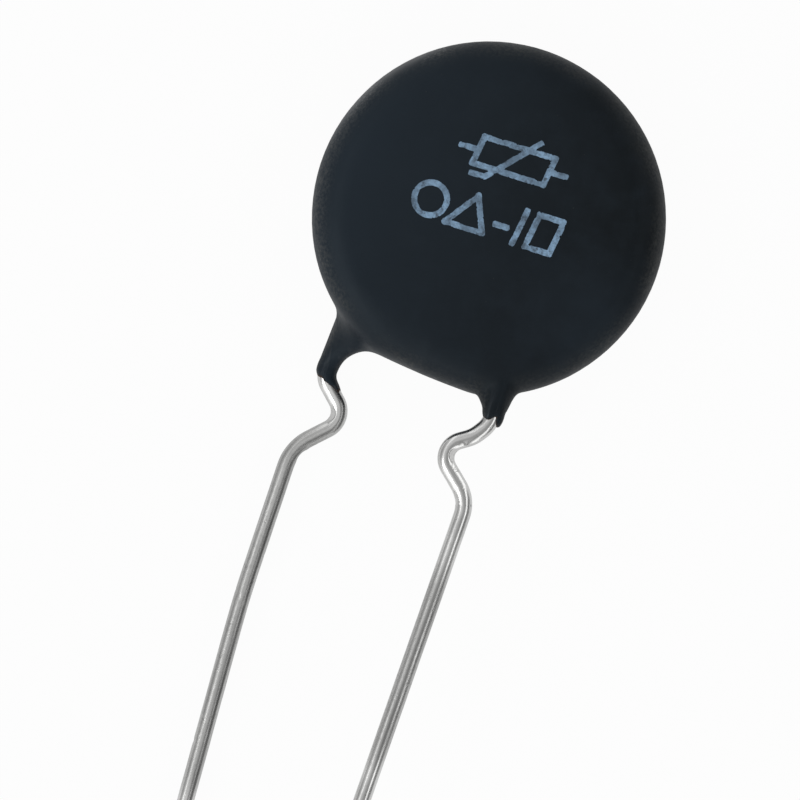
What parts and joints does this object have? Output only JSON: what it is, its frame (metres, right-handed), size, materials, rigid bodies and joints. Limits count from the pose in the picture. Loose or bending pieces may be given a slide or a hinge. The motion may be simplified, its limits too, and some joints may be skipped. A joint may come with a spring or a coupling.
{
  "type": "ntc disc thermistor",
  "caption": "Round disc thermistor in dark resin, with two kinked wire leads for soldering to a board.",
  "frame": {"origin": "centre of the disc's flat underside, on which it lies", "axes": "+Z along the disc's axis, out of the printed face; the leads run towards -Y; +X from the rear lead to the front lead"},
  "size_m": [0.0164, 0.0442, 0.005],
  "materials": {
    "coating_resin": "satin blue-black silicone resin, dipped and cured",
    "oxide_ceramic": "dull dark grey, sintered",
    "fired_silver": "matt fired silver",
    "solder": "satin tin solder",
    "tinned_wire": "bright drawn tin plating over copper"
  },
  "bodies": {
    "root": {"resin_coating": "coating_resin", "ceramic_disc": "oxide_ceramic", "front_electrode": "fired_silver", "rear_electrode": "fired_silver", "front_solder": "solder", "rear_solder": "solder", "front_lead": "tinned_wire", "rear_lead": "tinned_wire"}
  },
  "joints": []
}
